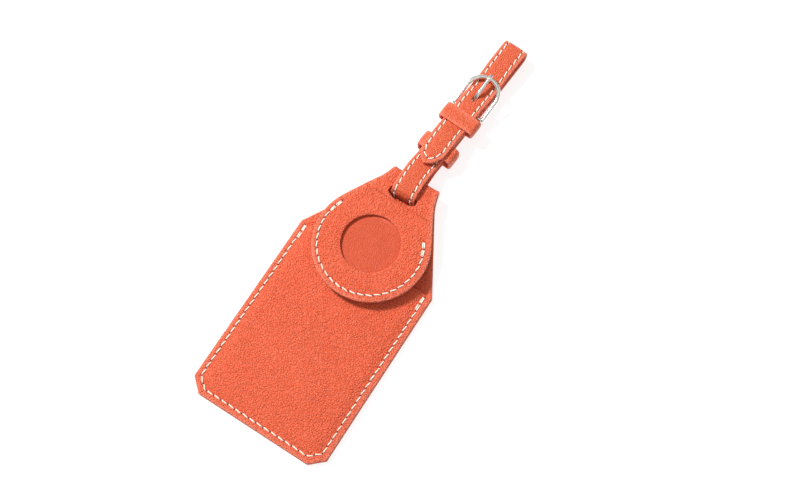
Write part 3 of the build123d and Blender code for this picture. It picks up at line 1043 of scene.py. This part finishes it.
tongue_end = strap_route.total


def strap_outline():
    """Straight band whose tongue comes to a blunt, rounded point."""
    tip = [(strap_half, tongue_end - 6.8), (0.56 * strap_half, tongue_end - 2.1), (0, tongue_end)]
    right = fillet([(strap_half, 0)] + tip, [0, 5.0, 3.0, 0], closed=False, steps=8)
    loop = np.concatenate([right, right[::-1][1:] * (-1, 1)])
    radii = [0.0] * len(loop)
    radii[int(np.argmax(loop[:, 1]))] = 1.0
    return spaced(fillet(loop, radii, steps=6), 0.6)


def wrap_share(t):
    """1 where the strap is skived thin, on the fold-back and round the bar, and 0 beyond."""
    return 1 - smooth((t - skived) / 3.0)


skived = 14.2
prong_t = strap_length((46.0, 5.5), before=tongue_end - 60) + 3.6
eye_t = strap_length((bar_out + wrap, bar_height))


def oval(t, half_x, half_t):
    """Long hole with round ends at length t, for the prong's shank or its eye."""
    points = [(-half_x, t - half_t), (-half_x, t + half_t), (half_x, t + half_t), (half_x, t - half_t)]
    return spaced(fillet(points, half_x - 0.02, steps=6), 0.3)


row_start = eye_t + 5.5
half_row = [(strap_seam, row_start), (strap_seam, tongue_end - 7.8)]
half_row += [(0.62 * strap_seam, tongue_end - 3.9), (0, tongue_end - 2.5)]
row_corners = half_row + [(-x, t) for x, t in half_row[-2::-1]]
strap_row = Seam(fillet(row_corners, [0, 3.0, 2.6, 2.0, 2.6, 3.0, 0], closed=False, steps=6))
prong_hole, eye_hole = oval(prong_t + 0.35, 1.0, 2.25), oval(eye_t, 1.25, 2.7)
strap = leather_piece(
    "strap_leather_band",
    [strap_outline(), prong_hole, eye_hole],
    [strap_row],
    place_strap,
    outer=lambda p: leather / 2 - 0.14 * smooth((np.abs(p[:, 0]) - 3.2) / 2.1),
    inner=lambda p: -leather / 2 + 0.42 * wrap_share(p[:, 1]),
    rim=0.42,
    material=strapping,
    step=1.0,
    sides=(1, 0),
)
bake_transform(strap)
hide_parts("strap_loop", "strap_bend", "strap_buckle_end")

strap_thread_level = evenly(leather / 2 - 0.17)
strap_thread = thread_piece("strap_thread", [(strap_row, place_strap, strap_thread_level, 1)])
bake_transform(strap_thread)
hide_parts("loop_stitching", "buckle_end_stitching")


# ---------- keepers
def keeper(name, node, width=7.0, thick=1.0):
    """Leather loop round the strap: a band with rolled edges, closed into a soft-cornered ring."""
    box_low, box_high = corners(node)
    centre = (box_low + box_high) / 2 - strap_origin
    shift = centre @ across
    half = ((box_high - box_low)[0] - width * along[0]) / 2 / along[1]
    middle_half, crown_height = half - thick / 2 - 0.02, 0.12
    z_low, z_high = box_low[2] + thick / 2, box_high[2] - thick / 2
    ring = spaced(fillet(rectangle((-middle_half, z_low), (middle_half, z_high)), 1.45, steps=8), 0.8)
    run = np.roll(ring, -1, axis=0) - np.roll(ring, 1, axis=0)
    away = np.stack([run[:, 1], -run[:, 0]], 1) / np.linalg.norm(run, axis=1)[:, None]
    section = rectangle((-width / 2, -thick / 2), (width / 2, thick / 2))
    section = spaced(fillet(section, 0.42, steps=4), 0.9)
    crown = crown_height * (1 - (2 * section[:, 0] / width) ** 2) * (section[:, 1] > 0)
    points, edge = [], []
    for (a, z), (na, nz) in zip(ring, away):
        for (s, n), c in zip(section, crown):
            grown = n + c - crown_height
            place = strap_origin + along * (centre @ along + s) + across * (shift + a + na * grown)
            points.append(place + np.array([0, 0, z + nz * grown]))
            # Distance from the band's sides, for the painted edge highlight; the inner half counts as on the
            # edge.
            edge.append(width / 2 - abs(s) if n > 0 else 0.0)
    count, sides = len(ring), len(section)
    faces = []
    for k in range(count):
        for m in range(sides):
            j, n = (k + 1) % count, (m + 1) % sides
            faces.append((k * sides + m, j * sides + m, j * sides + n, k * sides + n))
    return new_mesh(name, points, faces, strapping, edge, np.full(len(points), no_hole))


fixed = keeper("fixed_keeper_leather", "fixed_keeper")
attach(fixed, "strap")
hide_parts("fixed_keeper")
loose = keeper("loose_keeper_leather", "loose_keeper")
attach(loose, "keeper")
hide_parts("loose_keeper")


# ---------- buckle
def swept(line, radii, sides):
    """Round bar along a line in the buckle's plane."""
    frames = []
    for k in range(len(line)):
        run = unit(line[min(k + 1, len(line) - 1)] - line[max(k - 1, 0)])
        u = unit(np.cross(bar_up, run))
        frames.append((u, np.cross(run, u)))
    return tube(line, frames, radii, sides)


arch_out, arch_height = 52.0, 7.75
frame_half, frame_shift, wire = 7.05, 0.5, 0.95
frame_run = np.array([arch_out - bar_out, arch_height - bar_height])
frame_reach = np.linalg.norm(frame_run)
frame_dir = unit(along * frame_run[0] + np.array([0, 0, frame_run[1]]))
bar_up = np.cross(across, frame_dir)
leg = frame_reach - frame_half


def frame_point(a, b):
    """Place in space of a point a across the buckle and b beyond its bar."""
    return bar + across * (frame_shift + a) + frame_dir * b


heel, leg_thinner = -0.55, 0.12
horseshoe = np.concatenate(
    [
        spaced(np.array([(frame_half, heel), (frame_half, leg)]), 0.6, closed=False)[:-1],
        arc((0, leg), frame_half, 0, 180, 0.5),
        spaced(np.array([(-frame_half, leg), (-frame_half, heel)]), 0.6, closed=False)[1:],
    ]
)
reach_share = np.clip(horseshoe[:, 1] / frame_reach, 0, 1)
ends = np.minimum(1, np.sqrt(np.clip((horseshoe[:, 1] + 0.75) / 0.9, 0.02, 1)))
frame_points, frame_faces = swept(
    np.array([frame_point(a, b) for a, b in horseshoe]),
    (wire - leg_thinner + leg_thinner * smooth(reach_share * 1.3)) * ends,
    sides=22,
)
bar_line = np.array([frame_point(a, 0) for a in np.linspace(-frame_half, frame_half, 15)])
bar_frames = [(frame_dir, bar_up)] * len(bar_line)
join(frame_points, frame_faces, *tube(bar_line, bar_frames, [0.8] * len(bar_line), 18), flip=True)
buckle = new_mesh("buckle_frame_metal", frame_points, frame_faces, nickel)
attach(buckle, "buckle")
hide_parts("buckle_frame")

eye_reach = 1.22
eye_bends = [
    (bar_out - eye_reach, bar_height + 0.05, 0),
    (bar_out - eye_reach, bar_height - eye_reach, 1.18),
    (bar_out + eye_reach, bar_height - eye_reach, 1.18),
    (bar_out + eye_reach, bar_height + 1.15, 1.1),
    (bar_out - 0.3, bar_height + 1.15, 0.6),
    (bar_out - eye_reach, bar_height + 0.6, 0),
]
shank_bends = [
    (bar_out + 0.2, 5.42, 0),
    (40.4, 5.35, 2.6),
    (43.6, 8.2, 4.0),
    (arch_out, arch_height + wire + 0.75, 1.5),
    (arch_out + 1.7, arch_height + wire + 0.25, 0),
]


def prong_piece():
    """Eye bent round the bar and a bowed shank, narrower and flatter towards its tip."""
    points, faces = [], []
    for bends, steps, tip in ((eye_bends, 8, False), (shank_bends, 10, True)):
        middle = route(bends, steps)
        t = np.linspace(0, middle.total, round(middle.total / 0.35) + 1)
        out, z, heading = middle.at(t)
        share = t / middle.total
        line, frames = [], []
        for k in range(len(t)):
            line.append(strap_origin + along * out[k] + np.array([0, 0, z[k]]))
            up = -math.sin(heading[k]) * along + np.array([0, 0, math.cos(heading[k])])
            end = math.sqrt(max(0.04, min(1.0, (middle.total - t[k]) / 0.7))) if tip else 1.0
            width = (0.85 - (0.12 * share[k] if tip else 0.1)) * end
            deep = (0.58 - (0.1 * share[k] if tip else 0.22)) * end
            frames.append((across * width, up * deep))
        join(points, faces, *tube(line, frames, [1.0] * len(line), 18), flip=True)
    return new_mesh("buckle_prong_metal", points, faces, nickel)


prong = prong_piece()
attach(prong, "prong")
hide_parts("buckle_prong")


# ---------- floor, light and camera
def floor_piece():
    """Plain white table that fades shadows a little."""
    n = Nodes("white_table")
    n.shade("Base Color", colour(0.42, 0.42, 0.42))
    n.shade("Roughness", 0.9)
    n.shade("Specular IOR Level", 0.1)
    n.shade("Emission Color", colour(1, 1, 1))
    n.shade("Emission Strength", 0.75)
    half, drop = 2.0, 0.00002
    square = [(x, y, 0) for x, y in rectangle((-half, -half), (half, half))]
    mesh = bpy.data.meshes.new("table_top")
    mesh.from_pydata(square, [], [(0, 1, 2, 3)])
    mesh.materials.append(n.material)
    table = in_scene("table_top", mesh)
    table.location.z = -drop
    return table


floor_piece()


def soft_light(name, place, size, power):
    """Square soft box at a place, turned towards the middle of the tag."""
    lamp = bpy.data.lights.new(name, "AREA")
    lamp.size = size
    lamp.energy = power
    box = in_scene(name, lamp)
    box.location = place
    box.rotation_euler = (-Vector(place)).to_track_quat("-Z", "Y").to_euler()


soft_light("key_light", (-0.90, 0.13, 0.98), 0.24, 22.5)
soft_light("fill_light", (0.55, -0.35, 0.6), 0.8, 0.5)

world = bpy.data.worlds.new("studio")
world.use_nodes = True
sky = world.node_tree
height = sky.nodes.new("ShaderNodeSeparateXYZ")
levels = sky.nodes.new("ShaderNodeValToRGB")
stops = levels.color_ramp.elements
stops[0].color = colour(0.85, 0.85, 0.85)
stops[1].position = 0.95
stops[1].color = colour(0.74, 0.74, 0.74)
for position, level in ((0.10, 0.60), (0.28, 0.04)):
    stops.new(position).color = colour(level, level, level)
sky.links.new(sky.nodes.new("ShaderNodeTexCoord").outputs["Generated"], height.inputs[0])
sky.links.new(height.outputs["Z"], levels.inputs["Fac"])
sky.links.new(levels.outputs["Color"], sky.nodes["Background"].inputs["Color"])
sky.nodes["Background"].inputs["Strength"].default_value = 1.0
bpy.context.scene.world = world
bpy.context.scene.view_settings.view_transform = "Standard"

azimuth, elevation, roll = math.radians(37.3227), math.radians(73.0625), math.radians(-4.853)
distance = 0.500
target = Vector((7.35, bottom + 89.88, 0)) * MM
level_reach = math.cos(elevation)
back_dir = Vector((math.sin(azimuth) * level_reach, -math.cos(azimuth) * level_reach, math.sin(elevation)))
level_right = (-back_dir).cross(Vector((0, 0, 1))).normalized()
level_up = level_right.cross(-back_dir)
cam_right = math.cos(roll) * level_right + math.sin(roll) * level_up
cam_up = math.cos(roll) * level_up - math.sin(roll) * level_right
lens = bpy.data.cameras.new("camera")
lens.lens = 56.99
lens.clip_start = 0.01
camera = in_scene("camera", lens)
turned = Matrix((cam_right, cam_up, back_dir)).transposed().to_4x4()
camera.matrix_world = Matrix.Translation(target + back_dir * distance) @ turned
bpy.context.scene.camera = camera
